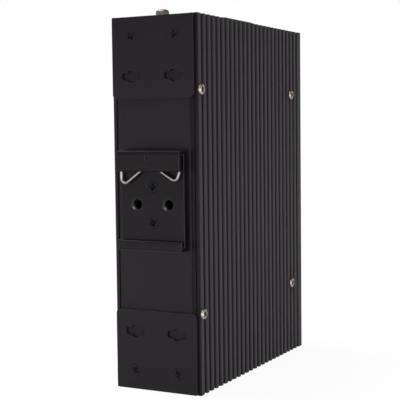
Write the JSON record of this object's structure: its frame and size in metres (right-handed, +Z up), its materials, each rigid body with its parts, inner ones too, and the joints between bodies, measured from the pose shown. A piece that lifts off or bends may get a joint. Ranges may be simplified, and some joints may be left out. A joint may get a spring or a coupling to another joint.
{
  "type": "din rail ethernet switch",
  "caption": "Slim black network switch for a 35 mm rail, with a ribbed side, a rear clip with a wire spring, stowed wall plates, front sockets and a top terminal.",
  "frame": {"origin": "middle of the bottom face of the case, between the front bezel's face and the rear wall", "axes": "+Z up, -Y out of the front with its sockets, +Y out of the rear with its rail clip, -X out of the ribbed side"},
  "size_m": [0.0431, 0.1228, 0.1669],
  "materials": {
    "case_black": "fine black powder coat, satin",
    "sink_black": "black anodised extrusion, satin",
    "clip_black": "black anodised extrusion, satin",
    "bezel_black": "fine moulded grain, matt",
    "spring_steel": "bright spring wire",
    "black_screw": "black oxide, satin",
    "silver_screw": "zinc plated, warm silver",
    "pillar_brass": "turned brass",
    "board_green": "solder mask",
    "package_black": "moulded epoxy",
    "can_silver": "drawn can",
    "pad_grey": "soft thermal pad",
    "spreader_metal": "milled",
    "socket_metal": "nickel plated sheet",
    "socket_black": "moulded plastic",
    "light_clear": "clear moulded pipe",
    "terminal_green": "moulded plastic",
    "pin_metal": "tinned pins"
  },
  "bodies": {
    "root": {"board_screws": "silver_screw", "board_standoffs": "pillar_brass", "capacitor": "can_silver", "chassis": "case_black", "clock_crystal": "can_silver", "front_bezel": "bezel_black", "ground_flat_washer": "silver_screw", "ground_lock_washer": "silver_screw", "ground_screw": "silver_screw", "heat_sink": "sink_black", "heat_sink_screws": "silver_screw", "heat_spreader": "spreader_metal", "jack_insert_1": "socket_black", "jack_insert_2": "socket_black", "jack_insert_3": "socket_black", "jack_insert_4": "socket_black", "jack_shell_1": "socket_metal", "jack_shell_2": "socket_metal", "jack_shell_3": "socket_metal", "jack_shell_4": "socket_metal", "left_cover": "case_black", "left_cover_screws": "black_screw", "light_bank": "package_black", "light_pipe": "light_clear", "lower_fibre_cage": "socket_metal", "lower_fibre_connector": "socket_black", "lower_wall_plate": "case_black", "main_board": "board_green", "memory_chip": "package_black", "phy_chip_1": "package_black", "phy_chip_2": "package_black", "power_inductor": "package_black", "power_module": "package_black", "rail_clip": "clip_black", "rail_clip_screws": "black_screw", "rail_spring": "spring_steel", "switch_chip": "package_black", "terminal_header": "terminal_green", "terminal_pins": "pin_metal", "terminal_plug": "terminal_green", "terminal_screws": "silver_screw", "thermal_pad": "pad_grey", "transformer_1": "package_black", "transformer_2": "package_black", "transformer_3": "package_black", "transformer_4": "package_black", "upper_fibre_cage": "socket_metal", "upper_fibre_connector": "socket_black", "upper_wall_plate": "case_black", "wall_plate_screws": "black_screw"}
  },
  "joints": []
}
